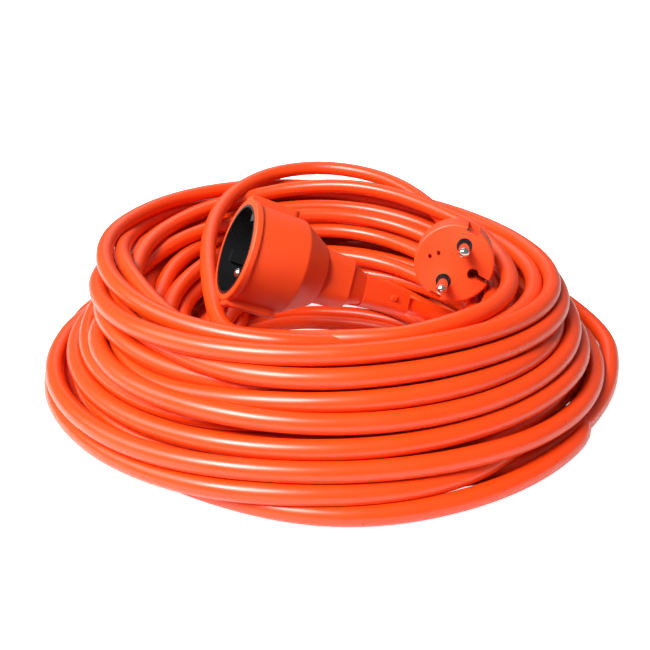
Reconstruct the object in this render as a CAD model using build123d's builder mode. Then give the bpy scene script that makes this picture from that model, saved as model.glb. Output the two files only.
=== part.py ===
"""Coiled extension cord with an earthed plug and an earthed coupler, in millimetres.

The cord lies in a loose coil on the floor, +Z up, with the origin on the floor under the middle
of its bounding box. The coupler leans across the eye of the coil with its mouth to the left,
and the plug stands in the eye with its two pins to the front.
"""
from build123d import *
from math import cos, pi, radians, sin, tan
import os

os.makedirs("parts", exist_ok=True)

# ---------------------------------------------------------------- driving dimensions
CORD_D = 8.1                    # three-core cable, 1.5 mm2
CORE_D = 2.8                    # one insulated core
CORE_CIRCLE_R = 1.75            # the three cores' centres inside the sheath
SLIDE_GAP = 0.2                 # clearance round the moving shutter
FIT_GAP = 0.1                   # clearance of a moulded insert in its body
CORD_GAP = 0.05                 # clearance of the sheath in a relief

COIL_X = -6.0                   # middle of the coil, from the middle of the whole object
COIL_FLOOR_R = 130.0            # where the coil's outer side leaves the floor
COIL_OUTER_R = 136.5
COIL_TOP_OUTER_R = 116.5
COIL_TOP_INNER_R = 83.5
COIL_FOOT_R = 55.0              # the lowest turns reach farther into the eye
COIL_FOOT_H = 8.0
COIL_H = 58.0
COIL_EDGE_R = 10.0
COIL_CLEARANCE = 1.5            # the coil stands off the plug by this much

PIN_D = 4.8                     # round pins of a 16 A household plug
PIN_L = 19.0
PIN_SHANK_D = 4.4               # the pins are a little thinner inside the mouldings
PIN_SPACING = 19.0
EARTH_OFFSET = 10.0             # the earth pin, from the line of the two pins

CUP_D = 39.5                    # the recess that takes a plug
PLUG_FACE_D = CUP_D - 2.7
PLUG_FRONT_L = 18.5             # the round part that enters a socket
PLUG_GRIP_L = 36.0              # from the face to the back of the moulding
PLUG_GRIP_D = CORD_D + 7.6
PLUG_WALL = 3.0
PLUG_RELIEF_L = 20.0
PLUG_RELIEF_D = CORD_D + 3.2
PLUG_NOTCH_W = 6.0
PLUG_NOTCH_DEPTH = 2.2
PLUG_EDGE_R = 1.2
COLLAR_D = 7.2
BRIDGE_FRONT = 6.0              # depth of the pin bridge behind the face
BRIDGE_L = 6.0
BRIDGE_W = 9.6
BRIDGE_SPAN = 27.0
PIN_TAIL = 14.5                 # how far the pins reach behind the face
EARTH_HOLE_D = 5.2
EARTH_HOLE_L = 14.0
EARTH_SLOT_W = 2.2
STRIP_W = 4.6
STRIP_T = 0.8
STRIP_R = PLUG_FACE_D / 2 - 1.2  # where the two side faces of the earth strip lie
STRIP_FRONT = 4.5
STRIP_BACK = PLUG_FRONT_L - 1.7

CUP_L = 17.5
CUP_WALL = 1.2
CUP_FLOOR = 3.0
POCKET_L = 4.0                  # the shutter's pocket behind the floor
CONTACT_HOLE_D = 5.4
SHELL_WALL = 1.55
SOCKET_D = CUP_D + 2 * (CUP_WALL + FIT_GAP + SHELL_WALL)
SOCKET_RIM_D = SOCKET_D + 2.3
SOCKET_RIM_L = 3.0
CLIP_T = 0.7
CARRIER_START = CUP_L + CUP_FLOOR + POCKET_L + CLIP_T + FIT_GAP
BACK_L = CUP_L + PIN_L + 1.8 - CARRIER_START  # contact carrier, a little longer than a pin
CARRIER_R = PIN_SPACING / 2 + 4.5
SOCKET_ROUND_L = CARRIER_START + 1.7          # the cylindrical part
SOCKET_L = CARRIER_START + BACK_L + 1.7       # where the sloping shoulder ends
SHOULDER_END_R = CARRIER_R + 1.5
SOCKET_SHOULDER_R = 2.5
SOCKET_RIM_R = 0.8
LUG_W = 8.0
LUG_L = 25.0
LUG_H = 3.2
LUG_FRONT = 0.8
LUG_EDGE_R = 0.9
NECK_W = PIN_SPACING + CORE_D + 3.4
NECK_END = SOCKET_L + 15.0
RELIEF_WAIST_W = CORD_D + 7.2
RELIEF_WAIST = NECK_END + 10.0
RELIEF_END_W = CORD_D + 4.2
SOCKET_RELIEF_END = NECK_END + 36.0
SHEATH_START = RELIEF_WAIST + 4.0  # the sheath ends inside the relief
TULIP_D = 7.2
CLIP_W = 4.0
CLIP_R = CUP_D / 2 - 0.85
CLIP_MOUTH = 4.2
CLIP_REACH = CUP_D / 2 - 4.95
CLIP_TAIL = 13.5
EARTH_CORE_U = PIN_SPACING / 2 - 0.5  # where the earth core meets the clips' bridge
EARTH_PIN_TIP = 2.5             # depth of its tip behind the mouth
GUIDE_W = 6.0
GUIDE_H = 1.8
GUIDE_FRONT = 4.5

SHUTTER_L = 27.0
SHUTTER_FRONT_U = -3.4
SHUTTER_BACK_U = 3.2
SHUTTER_T = 2.6
SHUTTER_TRAVEL = 6.2
SPRING_R = 1.1
SPRING_WIRE_D = 0.44
SPRING_TURNS = 7
SPRING_POST_U = 15.5

# ---------------------------------------------------------------- where the ends lie
cord_r = CORD_D / 2
pin_r = PIN_D / 2
shank_r = PIN_SHANK_D / 2
coil_axis = Axis((COIL_X, 0, 0), (0, 0, 1))

socket_mouth = Vector(-46.5, -26.5, 67.0)
socket_out = Vector(-0.872, -0.270, 0.407).normalized()
socket_up = Vector(0.238, 0.494, 0.838)
socket_up = (socket_up - socket_out * socket_up.dot(socket_out)).normalized()
socket_side = socket_out.cross(socket_up)
socket_plane = Plane(origin=socket_mouth, x_dir=socket_up, z_dir=socket_out)
socket_section = Plane(origin=socket_mouth, x_dir=socket_up, z_dir=socket_side)
socket_axis = Axis(socket_mouth, socket_out)

plug_face = Vector(53.5, -21.0, 58.0)
plug_out = Vector(-0.19, -0.97, 0.14).normalized()
plug_line = Vector(0.46, 0.04, 0.89)
plug_line = (plug_line - plug_out * plug_line.dot(plug_out)).normalized()
plug_side = plug_out.cross(plug_line)
plug_plane = Plane(origin=plug_face, x_dir=plug_line, z_dir=plug_out)
plug_section = Plane(origin=plug_face, x_dir=plug_line, z_dir=plug_side)
plug_axis = Axis(plug_face, plug_out)


def socket_point(up, side, depth):
    """A point of the coupler, by its height up the lugs, its side and its depth in the mouth."""
    return socket_mouth + socket_up * up + socket_side * side - socket_out * depth


def plug_point(line, side, depth):
    """A point of the plug, along its pins' line, across it, and behind its face."""
    return plug_face + plug_line * line + plug_side * side - plug_out * depth


def bend_radii(points):
    """The radius of each corner: 0.45 of its shorter run over the tangent of half its turn."""
    runs = [b - a for a, b in zip(points, points[1:])]
    radii = []
    for before, after in zip(runs, runs[1:]):
        half_turn = radians(before.get_angle(after)) / 2
        radii.append(0.45 * min(before.length, after.length) / tan(half_turn))
    return radii


def round_bar(points, diameter, label):
    """A round bar along straight runs joined by tangent arcs, as one labelled solid."""
    radii = bend_radii(points)
    with BuildPart() as bar:
        with BuildLine() as path:
            FilletPolyline(*points, radius=radii)
        with BuildSketch(Plane(origin=points[0], z_dir=points[1] - points[0])):
            Circle(diameter / 2)
        sweep()
    length = sum(edge.length for edge in path.edges())
    expected = pi * diameter ** 2 / 4 * length
    print(label, "radii", [round(r, 1) for r in radii], "length", round(length, 1),
          "volume over section x length", round(bar.part.volume / expected, 4))
    return bar.part


def save(piece, label):
    """Label a finished piece and write its STEP file."""
    piece.label = label
    export_step(piece, f"parts/{label}.step")


# ---------------------------------------------------------------- plug
plug_r = PLUG_FACE_D / 2
grip_r = PLUG_GRIP_D / 2
pocket_half_w = BRIDGE_W / 2 + FIT_GAP
pocket_half_span = BRIDGE_SPAN / 2 + FIT_GAP
cavity_front = PIN_TAIL + 1.0
cavity_r = plug_r - 2 * PLUG_WALL

with BuildPart() as plug_body:
    with BuildSketch(plug_section):
        with BuildLine():
            Polyline(
                (0, 0),
                (plug_r, 0),
                (plug_r, PLUG_FRONT_L),
                (plug_r - 2.0, PLUG_FRONT_L + 2.0),
                (grip_r + 1.5, PLUG_GRIP_L - 5.0),
                (grip_r, PLUG_GRIP_L),
                (0, PLUG_GRIP_L),
                close=True,
            )
        make_face()
    revolve(axis=plug_axis)
    face_rim = plug_body.edges().filter_by(GeomType.CIRCLE).sort_by(
        lambda edge: (edge.center() - plug_face).length)[0]
    fillet(face_rim, PLUG_EDGE_R)
    with BuildSketch(plug_section):
        with BuildLine():
            Polyline(
                (0, cavity_front),
                (cavity_r, cavity_front),
                (cavity_r, PLUG_FRONT_L),
                (cord_r + 0.6, PLUG_GRIP_L - 3.0),
                (cord_r + 0.6, PLUG_GRIP_L),
                (0, PLUG_GRIP_L),
                close=True,
            )
        make_face()
    revolve(axis=plug_axis, mode=Mode.SUBTRACT)
    with BuildSketch(plug_plane.offset(-BRIDGE_FRONT)):
        Rectangle(2 * pocket_half_span, 2 * pocket_half_w)
    extrude(amount=-(cavity_front - BRIDGE_FRONT), mode=Mode.SUBTRACT)
    with BuildSketch(plug_plane):
        with Locations((PIN_SPACING / 2, 0), (-PIN_SPACING / 2, 0)):
            Circle(COLLAR_D / 2)
    extrude(amount=-BRIDGE_FRONT, mode=Mode.SUBTRACT)
    with BuildSketch(plug_plane):
        with Locations((0, -EARTH_OFFSET)):
            Circle(EARTH_HOLE_D / 2)
        with Locations((0, -(EARTH_OFFSET + plug_r) / 2)):
            Rectangle(EARTH_SLOT_W, plug_r - EARTH_OFFSET + 1.0)
    extrude(amount=-EARTH_HOLE_L, mode=Mode.SUBTRACT)
    with BuildSketch(plug_plane):
        with Locations((plug_r, 0), (-plug_r, 0)):
            Rectangle(2 * PLUG_NOTCH_DEPTH, PLUG_NOTCH_W)
    extrude(amount=-(PLUG_FRONT_L - 2.0), mode=Mode.SUBTRACT)
    with BuildSketch(plug_plane.offset(-(STRIP_FRONT - FIT_GAP))):
        for side in (1, -1):
            with Locations((0, side * (STRIP_R + 1.0 - STRIP_T / 2 - FIT_GAP))):
                Rectangle(STRIP_W + 2 * FIT_GAP, 2.0)
    extrude(amount=-(STRIP_BACK - STRIP_FRONT + 2 * FIT_GAP), mode=Mode.SUBTRACT)
    with BuildSketch(plug_plane.offset(-(STRIP_BACK - STRIP_T - FIT_GAP))):
        Rectangle(STRIP_W + 2 * FIT_GAP, 2 * STRIP_R)
    extrude(amount=-(STRIP_T + 2 * FIT_GAP), mode=Mode.SUBTRACT)
    with BuildSketch(plug_plane):
        with Locations((-2.4, 11.2), (0.9, 8.5)):
            Ellipse(0.8, 1.2, rotation=-50)
    extrude(amount=-3.0, mode=Mode.SUBTRACT)

with BuildPart() as plug_relief:
    with BuildSketch(plug_section):
        with BuildLine():
            Polyline(
                (cord_r + CORD_GAP, PLUG_GRIP_L),
                (grip_r - 0.8, PLUG_GRIP_L),
                (PLUG_RELIEF_D / 2, PLUG_GRIP_L + PLUG_RELIEF_L),
                (cord_r + CORD_GAP, PLUG_GRIP_L + PLUG_RELIEF_L),
                close=True,
            )
        make_face()
    revolve(axis=plug_axis)
    groove_pitch = 3.4
    groove_count = 4
    for groove in range(groove_count):
        depth = PLUG_GRIP_L + 2.0 + groove * groove_pitch
        with BuildSketch(plug_plane.offset(-depth)):
            Circle(grip_r)
            Circle(PLUG_RELIEF_D / 2 - 0.5, mode=Mode.SUBTRACT)
        extrude(amount=-1.2, mode=Mode.SUBTRACT)

with BuildPart() as plug_bridge:
    with BuildSketch(plug_plane.offset(-BRIDGE_FRONT)):
        RectangleRounded(BRIDGE_SPAN, BRIDGE_W, 4.0)
    extrude(amount=-BRIDGE_L)
    with BuildSketch(plug_plane.offset(-0.3)):
        with Locations((PIN_SPACING / 2, 0), (-PIN_SPACING / 2, 0)):
            Circle(COLLAR_D / 2)
    extrude(amount=-(BRIDGE_FRONT - 0.3))
    with BuildSketch(plug_plane):
        with Locations((PIN_SPACING / 2, 0), (-PIN_SPACING / 2, 0)):
            Circle(shank_r)
    extrude(amount=-(BRIDGE_FRONT + BRIDGE_L + 1.0), mode=Mode.SUBTRACT)

plug_pins = {}
for pin_label, line_position in (("plug_pin_live", PIN_SPACING / 2), ("plug_pin_neutral", -PIN_SPACING / 2)):
    with BuildPart() as plug_pin:
        with BuildSketch(plug_plane.offset(-PIN_TAIL)):
            with Locations((line_position, 0)):
                Circle(shank_r)
        extrude(amount=PIN_TAIL)
        with BuildSketch(plug_plane):
            with Locations((line_position, 0)):
                Circle(pin_r)
        extrude(amount=PIN_L)
        pin_tip = plug_pin.edges().sort_by(lambda edge: edge.center().dot(plug_out))[-1]
        fillet(pin_tip, pin_r * 0.85)
    plug_pins[pin_label] = plug_pin.part

with BuildPart() as plug_earth_strip:
    with BuildSketch(Plane(origin=plug_face, x_dir=plug_side, z_dir=-plug_line)):
        with BuildLine():
            Polyline(
                (STRIP_R + STRIP_T / 2, STRIP_FRONT),
                (STRIP_R + STRIP_T / 2, STRIP_BACK),
                (-STRIP_R - STRIP_T / 2, STRIP_BACK),
                (-STRIP_R - STRIP_T / 2, STRIP_FRONT),
                (-STRIP_R + STRIP_T / 2, STRIP_FRONT),
                (-STRIP_R + STRIP_T / 2, STRIP_BACK - STRIP_T),
                (STRIP_R - STRIP_T / 2, STRIP_BACK - STRIP_T),
                (STRIP_R - STRIP_T / 2, STRIP_FRONT),
                close=True,
            )
        make_face()
    extrude(amount=STRIP_W / 2, both=True)

plug_core_starts = {
    "plug_core_live": (PIN_SPACING / 2, 0, PIN_TAIL),
    "plug_core_neutral": (-PIN_SPACING / 2, 0, PIN_TAIL),
    "plug_core_earth": (0, 3.0, STRIP_BACK),
}
plug_core_angles = {"plug_core_live": 0, "plug_core_neutral": 240, "plug_core_earth": 120}

save(plug_body.part, "plug_body")
save(plug_relief.part, "plug_relief")
save(plug_bridge.part, "plug_bridge")
for pin_label, pin_part in plug_pins.items():
    save(pin_part, pin_label)
save(plug_earth_strip.part, "plug_earth_strip")
for core_label, (line, side, depth) in plug_core_starts.items():
    angle = radians(plug_core_angles[core_label])
    end_line = CORE_CIRCLE_R * cos(angle)
    end_side = CORE_CIRCLE_R * sin(angle)
    core_points = [
        plug_point(line, side, depth),
        plug_point(line, side, depth + 4.5),
        plug_point(end_line, end_side, PLUG_GRIP_L - 5.5),
        plug_point(end_line, end_side, PLUG_GRIP_L),
    ]
    save(round_bar(core_points, CORE_D, core_label), core_label)

# ---------------------------------------------------------------- coupler
cup_r = CUP_D / 2
insert_r = cup_r + CUP_WALL
shell_bore_r = insert_r + FIT_GAP
floor_back = CUP_L + CUP_FLOOR
pocket_back = floor_back + POCKET_L
carrier_back = CARRIER_START + BACK_L
socket_bore_end = carrier_back + 0.7
neck_bore_r = PIN_SPACING / 2 + CORE_D / 2 + 0.5
relief_bore_r = cord_r + CORD_GAP

with BuildPart() as socket_body:
    with BuildSketch(socket_section):
        with BuildLine():
            Polyline(
                (shell_bore_r, 0),
                (SOCKET_RIM_D / 2, 0),
                (SOCKET_RIM_D / 2, SOCKET_RIM_L),
                (SOCKET_D / 2, SOCKET_RIM_L + 1.0),
                (SOCKET_D / 2, SOCKET_ROUND_L),
                (SHOULDER_END_R, SOCKET_L),
                (neck_bore_r, SOCKET_L),
                (neck_bore_r, socket_bore_end),
                (CARRIER_R + FIT_GAP, socket_bore_end),
                (CARRIER_R + FIT_GAP, CARRIER_START + FIT_GAP),
                (shell_bore_r, CARRIER_START + FIT_GAP),
                close=True,
            )
        make_face()
    revolve(axis=socket_axis)
    rim_edges = socket_body.edges().filter_by(GeomType.CIRCLE).filter_by(
        lambda edge: abs(edge.radius - SOCKET_RIM_D / 2) < 0.01)
    fillet(rim_edges, SOCKET_RIM_R)
    shoulder_depth = socket_mouth.dot(socket_out) - SOCKET_ROUND_L
    shoulder = socket_body.edges().filter_by(GeomType.CIRCLE).filter_by(
        lambda edge: abs(edge.center().dot(socket_out) - shoulder_depth) < 0.01
    ).sort_by(lambda edge: edge.radius)[-1]
    fillet(shoulder, SOCKET_SHOULDER_R)
    for way in (1, -1):
        lug_base = socket_point(way * (shell_bore_r + 0.5), 0, 0)
        with BuildSketch(Plane(origin=lug_base, x_dir=-socket_out, z_dir=socket_up * way)):
            with Locations((LUG_FRONT + (LUG_L - LUG_W / 2) / 2, 0)):
                Rectangle(LUG_L - LUG_W / 2, LUG_W)
            with Locations((LUG_FRONT + LUG_L - LUG_W / 2, 0)):
                Circle(LUG_W / 2)
        extrude(amount=SOCKET_D / 2 + LUG_H - shell_bore_r - 0.5)
        lug_top = socket_body.faces().filter_by(GeomType.PLANE).sort_by(
            lambda face: way * face.center().dot(socket_up))[-1]
        fillet(lug_top.edges(), LUG_EDGE_R)
    with BuildSketch(socket_plane.offset(-(SOCKET_L - 1.0))):
        RectangleRounded(NECK_W, NECK_W, 6.0)
    with BuildSketch(socket_plane.offset(-NECK_END)):
        RectangleRounded(NECK_W - 1.4, NECK_W - 1.4, 6.0)
    loft()
    with BuildSketch(socket_section):
        with BuildLine():
            Polyline(
                (0, socket_bore_end - 0.5),
                (neck_bore_r, socket_bore_end - 0.5),
                (neck_bore_r, SOCKET_L),
                (cord_r + 3.6, NECK_END),
                (0, NECK_END),
                close=True,
            )
        make_face()
    revolve(axis=socket_axis, mode=Mode.SUBTRACT)

with BuildPart() as socket_relief:
    with BuildSketch(socket_plane.offset(-NECK_END)):
        RectangleRounded(NECK_W - 3.4, NECK_W - 3.4, 5.5)
    with BuildSketch(socket_plane.offset(-RELIEF_WAIST)):
        RectangleRounded(RELIEF_WAIST_W, RELIEF_WAIST_W, 4.5)
    loft()
    with BuildSketch(socket_plane.offset(-RELIEF_WAIST)):
        RectangleRounded(RELIEF_WAIST_W + 0.8, RELIEF_WAIST_W + 0.8, 3.6)
    with BuildSketch(socket_plane.offset(-SOCKET_RELIEF_END)):
        RectangleRounded(RELIEF_END_W, RELIEF_END_W, 3.6)
    loft()
    with BuildSketch(socket_section):
        with BuildLine():
            Polyline(
                (0, NECK_END),
                (cord_r + 3.6, NECK_END),
                (relief_bore_r, SHEATH_START - 2.0),
                (relief_bore_r, SOCKET_RELIEF_END),
                (0, SOCKET_RELIEF_END),
                close=True,
            )
        make_face()
    revolve(axis=socket_axis, mode=Mode.SUBTRACT)
    with BuildSketch(socket_plane.offset(-(RELIEF_WAIST + 15.0))):
        with Locations((0, -RELIEF_END_W / 2 - 0.7)):
            Circle(1.5)
    extrude(amount=-2.6)

clip_slot_w = CLIP_W + 4 * FIT_GAP
clip_slot_t = CLIP_T + 4 * FIT_GAP
with BuildPart() as socket_insert:
    with BuildSketch(socket_plane):
        Circle(insert_r)
    extrude(amount=-pocket_back)
    with BuildSketch(socket_plane):
        Circle(cup_r)
    extrude(amount=-CUP_L, mode=Mode.SUBTRACT)
    with BuildSketch(socket_plane.offset(-floor_back)):
        Circle(cup_r)
    extrude(amount=-POCKET_L, mode=Mode.SUBTRACT)
    with BuildSketch(socket_plane.offset(-GUIDE_FRONT)):
        for side in (1, -1):
            with Locations((0, side * (cup_r - GUIDE_H / 2 + 0.4))):
                Rectangle(GUIDE_W, GUIDE_H + 0.8)
    extrude(amount=-(CUP_L - GUIDE_FRONT))
    with BuildSketch(socket_plane.offset(-floor_back)):
        rail_w = 1.2
        rail_side = SHUTTER_L / 2 + SLIDE_GAP + rail_w / 2
        rail_u = (SHUTTER_FRONT_U + SHUTTER_BACK_U + SHUTTER_TRAVEL) / 2
        for side in (1, -1):
            with Locations((rail_u, side * rail_side)):
                Rectangle(SHUTTER_TRAVEL + 6.0, rail_w)
        with Locations((SPRING_POST_U + 0.8, 0)):
            Rectangle(1.6, 3.4)
    extrude(amount=-(POCKET_L - FIT_GAP))
    with BuildSketch(socket_plane.offset(-CUP_L)):
        with Locations((0, PIN_SPACING / 2), (0, -PIN_SPACING / 2)):
            Circle(CONTACT_HOLE_D / 2)
        with Locations((-EARTH_OFFSET, 0)):
            Circle(shank_r)
        with Locations((CLIP_R, 0), (-CLIP_R, 0)):
            Rectangle(clip_slot_t, clip_slot_w)
    extrude(amount=-CUP_FLOOR, mode=Mode.SUBTRACT)

with BuildPart() as socket_back:
    with BuildSketch(socket_plane.offset(-CARRIER_START)):
        Circle(CARRIER_R)
        with Locations((0, PIN_SPACING / 2), (0, -PIN_SPACING / 2)):
            Circle(TULIP_D / 2 + FIT_GAP, mode=Mode.SUBTRACT)
        with Locations((EARTH_CORE_U, 0)):
            Circle(CORE_D / 2 + FIT_GAP, mode=Mode.SUBTRACT)
    extrude(amount=-BACK_L)

socket_contacts = {}
contact_places = {"socket_contact_live": PIN_SPACING / 2, "socket_contact_neutral": -PIN_SPACING / 2}
for contact_label, side_position in contact_places.items():
    with BuildPart() as contact:
        with BuildSketch(socket_plane.offset(-(CARRIER_START + 0.3))):
            with Locations((0, side_position)):
                Circle(TULIP_D / 2)
        extrude(amount=-(BACK_L - 0.3))
        with BuildSketch(socket_plane.offset(-(CARRIER_START + 0.3))):
            with Locations((0, side_position)):
                Circle(pin_r)
                Rectangle(TULIP_D + 1.0, 0.7)
        extrude(amount=-(BACK_L - 2.0), mode=Mode.SUBTRACT)
    socket_contacts[contact_label] = contact.part

yoke_front = pocket_back
with BuildPart() as socket_earth_pin:
    with BuildSketch(socket_plane.offset(-yoke_front)):
        with Locations((-EARTH_OFFSET, 0)):
            Circle(shank_r)
    extrude(amount=yoke_front - CUP_L)
    with BuildSketch(socket_plane.offset(-CUP_L)):
        with Locations((-EARTH_OFFSET, 0)):
            Circle(pin_r)
    extrude(amount=CUP_L - EARTH_PIN_TIP)
    earth_tip = socket_earth_pin.edges().sort_by(lambda edge: edge.center().dot(socket_out))[-1]
    fillet(earth_tip, pin_r * 0.85)

with BuildPart() as socket_earth_clips:
    with BuildSketch(socket_section):
        with BuildLine():
            outer = CLIP_R + CLIP_T / 2
            inner = CLIP_R - CLIP_T / 2
            Polyline(
                (outer, yoke_front + CLIP_T),
                (outer, CLIP_MOUTH),
                (CLIP_REACH, CLIP_MOUTH),
                (CLIP_REACH + 0.9, CLIP_TAIL),
                (CLIP_REACH + 0.9 + CLIP_T, CLIP_TAIL),
                (CLIP_REACH + CLIP_T, CLIP_MOUTH + CLIP_T),
                (inner, CLIP_MOUTH + CLIP_T),
                (inner, yoke_front),
                (-inner, yoke_front),
                (-inner, CLIP_MOUTH + CLIP_T),
                (-CLIP_REACH - CLIP_T, CLIP_MOUTH + CLIP_T),
                (-CLIP_REACH - 0.9 - CLIP_T, CLIP_TAIL),
                (-CLIP_REACH - 0.9, CLIP_TAIL),
                (-CLIP_REACH, CLIP_MOUTH),
                (-outer, CLIP_MOUTH),
                (-outer, yoke_front + CLIP_T),
                close=True,
            )
        make_face()
    extrude(amount=CLIP_W / 2, both=True)

shutter_front = floor_back + 0.5
with BuildPart() as shutter:
    with BuildSketch(socket_section):
        with BuildLine():
            Polyline(
                (SHUTTER_FRONT_U, shutter_front + SHUTTER_T),
                (SHUTTER_FRONT_U, shutter_front + SHUTTER_T - 0.7),
                (SHUTTER_BACK_U - 1.0, shutter_front),
                (SHUTTER_BACK_U, shutter_front),
                (SHUTTER_BACK_U, shutter_front + SHUTTER_T),
                close=True,
            )
        make_face()
    extrude(amount=SHUTTER_L / 2, both=True)

spring_start_u = SHUTTER_BACK_U + SPRING_WIRE_D
spring_length = SPRING_POST_U - SPRING_WIRE_D - spring_start_u
spring_depth = shutter_front + SHUTTER_T / 2
with BuildPart() as shutter_spring:
    with BuildLine() as spring_path:
        Helix(
            pitch=spring_length / SPRING_TURNS,
            height=spring_length,
            radius=SPRING_R,
            center=socket_point(spring_start_u, 0, spring_depth),
            direction=socket_up,
        )
    with BuildSketch(Plane(origin=spring_path.line @ 0, z_dir=spring_path.line % 0)):
        Circle(SPRING_WIRE_D / 2)
    sweep()

socket_core_starts = {
    "socket_core_live": (0, PIN_SPACING / 2, carrier_back),
    "socket_core_neutral": (0, -PIN_SPACING / 2, carrier_back),
    "socket_core_earth": (EARTH_CORE_U, 0, yoke_front + CLIP_T),
}
socket_core_angles = {"socket_core_live": 120, "socket_core_neutral": 240, "socket_core_earth": 0}

save(socket_body.part, "socket_body")
save(socket_relief.part, "socket_relief")
save(socket_insert.part, "socket_insert")
save(socket_back.part, "socket_back")
for contact_label, contact_part in socket_contacts.items():
    save(contact_part, contact_label)
save(socket_earth_pin.part, "socket_earth_pin")
save(socket_earth_clips.part, "socket_earth_clips")
save(shutter.part, "shutter")
save(shutter_spring.part, "shutter_spring")
for core_label, (up, side, depth) in socket_core_starts.items():
    angle = radians(socket_core_angles[core_label])
    end_up = CORE_CIRCLE_R * cos(angle)
    end_side = CORE_CIRCLE_R * sin(angle)
    core_points = [
        socket_point(up, side, depth),
        socket_point(up, side, carrier_back + 4.0),
        socket_point(end_up, end_side, SHEATH_START - 7.0),
        socket_point(end_up, end_side, SHEATH_START),
    ]
    save(round_bar(core_points, CORE_D, core_label), core_label)

# ---------------------------------------------------------------- cord
# The plug's lead goes back from the plug, over the back of the coil and down its left side,
# where it passes under the rim of the coupler.
rim_drop = CUP_D / 2 + 0.25
plug_lead_points = [
    plug_point(0, 0, PLUG_GRIP_L),
    plug_point(0, 0, PLUG_GRIP_L + PLUG_RELIEF_L + 14.0),
    Vector(54, 77, 60),
    Vector(31, 104, 68),
    Vector(-3, 120, 71),
    Vector(-35, 113, 70),
    Vector(-56, 91, 66),
    Vector(-66, 63, 60),
    Vector(-68, 34, 53),
    Vector(-65, 7, 46),
    Vector(-60, -18, 59 - rim_drop),
    Vector(-52, -44, 54 - rim_drop),
    Vector(-36, -67, 42),
    Vector(-15, -82, 48),
]
# The coupler's lead dives under the plug and joins the inner turns at the right.
socket_lead_points = [
    socket_point(0, 0, SHEATH_START),
    socket_point(0, 0, SOCKET_RELIEF_END + 10.0),
    Vector(60.5, 2, 19),
    Vector(76.5, -4.5, 14),
    Vector(88, -17.5, 11.5),
    Vector(93.5, -35, 11),
]
# One stray turn swings out over the floor at the right.
loose_loop_points = [
    Vector(92.5, -86, cord_r + 0.3),
    Vector(114.5, -60.5, cord_r + 0.3),
    Vector(131, -30, 5.5),
    Vector(140, 2, 9),
    Vector(130, 32, 14.5),
    Vector(112, 53, 22),
]

with BuildPart() as cord_coil:
    with BuildSketch(Plane(origin=(COIL_X, 0, 0), x_dir=(1, 0, 0), z_dir=(0, -1, 0))) as coil_section:
        with BuildLine():
            Polyline(
                (COIL_FOOT_R, 0),
                (COIL_FLOOR_R, 0),
                (COIL_OUTER_R, 10.0),
                (COIL_OUTER_R - 1.0, 24.0),
                (COIL_TOP_OUTER_R, COIL_H),
                (COIL_TOP_INNER_R, COIL_H),
                (COIL_TOP_INNER_R - 7.0, COIL_H - 14.0),
                (COIL_FOOT_R, COIL_FOOT_H),
                close=True,
            )
        make_face()
        top_corners = coil_section.vertices().group_by(Axis.Y)[-1]
        fillet(top_corners, COIL_EDGE_R)
    revolve(axis=coil_axis)
    with BuildSketch(plug_plane.offset(2.0)):
        Circle(plug_r + COIL_CLEARANCE)
    extrude(amount=-(PLUG_GRIP_L + PLUG_RELIEF_L + 2.0), mode=Mode.SUBTRACT)

save(round_bar(plug_lead_points, CORD_D, "plug_lead"), "plug_lead")
save(round_bar(socket_lead_points, CORD_D, "socket_lead"), "socket_lead")
save(round_bar(loose_loop_points, CORD_D, "loose_loop"), "loose_loop")
save(cord_coil.part, "cord_coil")
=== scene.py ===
"""Looks of a coiled extension cord: its cable, plug and coupler, under soft studio light."""

import logging
import math
from dataclasses import dataclass, field
from enum import Enum
from typing import Callable, Sequence

import bpy
import numpy as np
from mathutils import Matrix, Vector

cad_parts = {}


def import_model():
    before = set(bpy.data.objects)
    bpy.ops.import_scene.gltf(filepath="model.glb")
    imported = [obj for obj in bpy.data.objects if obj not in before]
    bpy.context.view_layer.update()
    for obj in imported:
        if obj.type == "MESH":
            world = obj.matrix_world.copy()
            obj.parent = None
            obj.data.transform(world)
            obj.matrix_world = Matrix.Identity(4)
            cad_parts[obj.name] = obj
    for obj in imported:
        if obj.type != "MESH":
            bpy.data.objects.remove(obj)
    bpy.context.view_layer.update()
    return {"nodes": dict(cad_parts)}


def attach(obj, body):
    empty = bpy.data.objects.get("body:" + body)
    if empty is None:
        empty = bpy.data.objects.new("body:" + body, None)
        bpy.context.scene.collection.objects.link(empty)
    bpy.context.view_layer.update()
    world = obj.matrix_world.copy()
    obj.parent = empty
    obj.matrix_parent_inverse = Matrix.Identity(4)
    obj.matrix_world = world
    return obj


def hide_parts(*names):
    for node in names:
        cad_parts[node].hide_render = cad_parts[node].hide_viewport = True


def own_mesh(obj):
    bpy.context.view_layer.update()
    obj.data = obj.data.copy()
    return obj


logging.basicConfig(level=logging.INFO, format="%(levelname)s %(message)s")
log = logging.getLogger("extension_cord")

Point = tuple[float, float, float]

ROOT_BODY = "cord_set"
CABLE_DIAMETER = 0.0081
FULL_TURN = 360.0
TINY = 1e-9
SMALL = 1e-6


class Socket(str, Enum):
    """The sockets of the Principled shader that this script sets."""

    COLOR = "Base Color"
    METALLIC = "Metallic"
    ROUGHNESS = "Roughness"
    SPECULAR = "Specular IOR Level"
    NORMAL = "Normal"
    GLOW_COLOR = "Emission Color"
    GLOW = "Emission Strength"


class Skin(str, Enum):
    """The inputs and outputs of the moulded-skin group."""

    GRAIN_SCALE = "Grain Scale"
    DRIFT_SCALE = "Drift Scale"
    GLOSS_LOW = "Gloss Low"
    GLOSS_HIGH = "Gloss High"
    HEIGHT = "Height"
    DRIFT = "Drift"
    GLOSS = "Gloss"


GRAIN_DETAIL = 3.0
DRIFT_DETAIL = 4.0
DRIFT_RANGE = (0.35, 0.65)
GRAIN_STRENGTH = 0.6


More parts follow.
